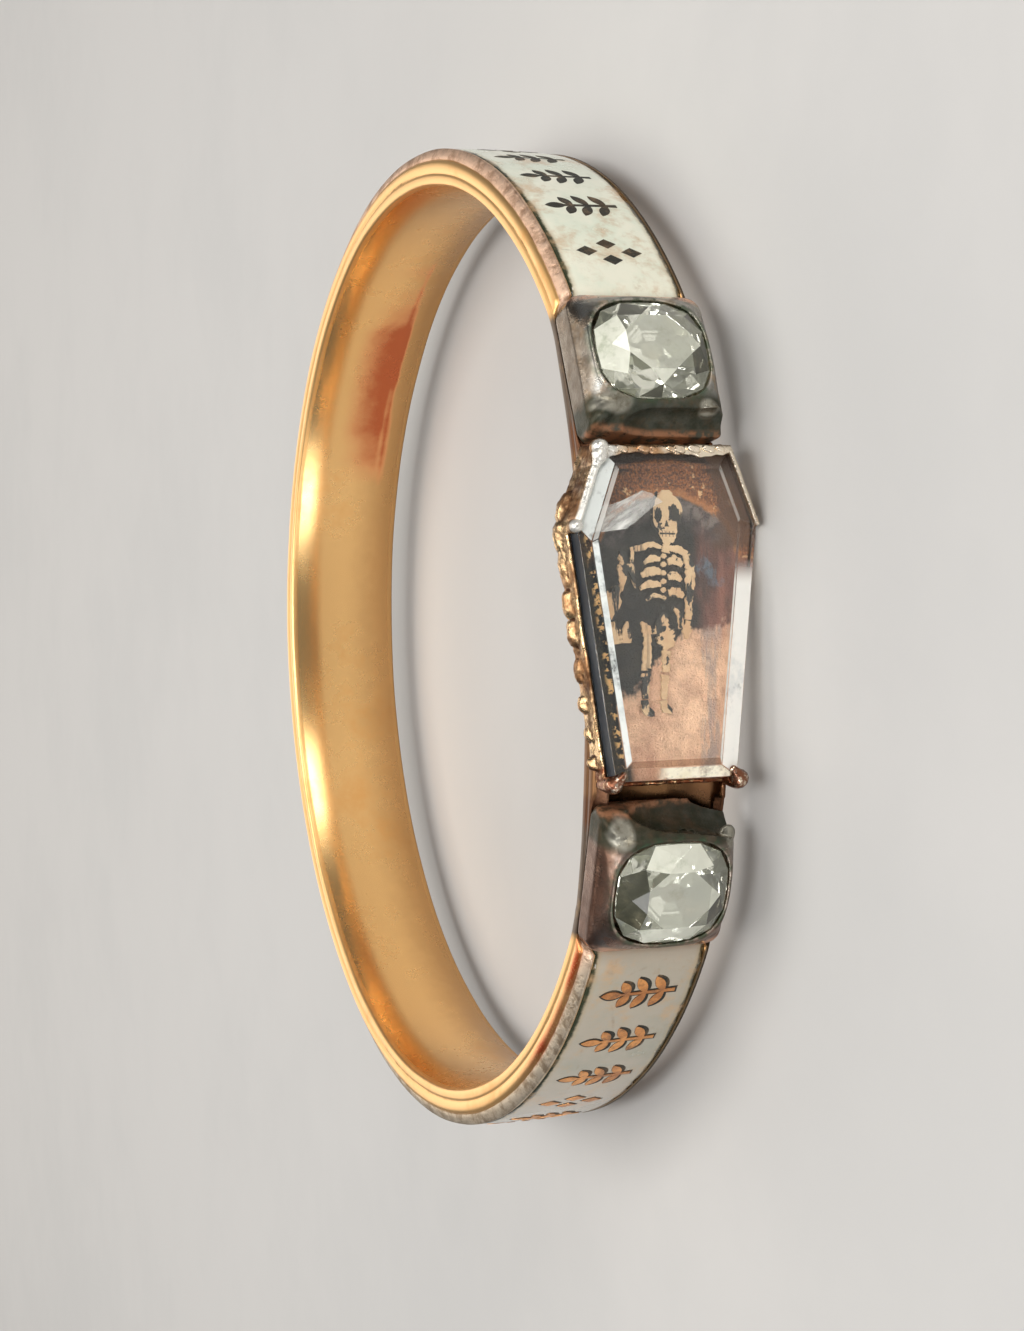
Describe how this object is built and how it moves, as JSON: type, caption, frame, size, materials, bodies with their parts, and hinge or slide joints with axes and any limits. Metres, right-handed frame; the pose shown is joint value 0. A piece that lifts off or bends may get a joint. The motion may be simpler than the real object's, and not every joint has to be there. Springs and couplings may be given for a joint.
{
  "type": "mourning ring",
  "caption": "Slim enamelled gold mourning ring with a coffin-shaped bezel under faceted crystal between two square settings with cushion-cut stones.",
  "frame": {"origin": "centre of the finger hole, at the middle of the hoop's width", "axes": "+Z along the finger hole, up when the ring lies on its side; -Y out through the coffin bezel; +X towards the head of the coffin"},
  "size_m": [0.0204, 0.02, 0.0038],
  "materials": {
    "gold": "polished and worn",
    "silver": "tarnished",
    "enamel": "glossy, stained",
    "diamond": "faceted",
    "crystal": "faceted",
    "bone": "painted",
    "ground": "painted"
  },
  "bodies": {
    "root": {"gold_hoop": "gold", "enamel_band": "enamel", "head_setting": "silver", "foot_setting": "silver", "head_diamond": "diamond", "foot_diamond": "diamond", "rock_crystal": "crystal", "skeleton": "bone", "picture_ground": "ground"}
  },
  "joints": []
}
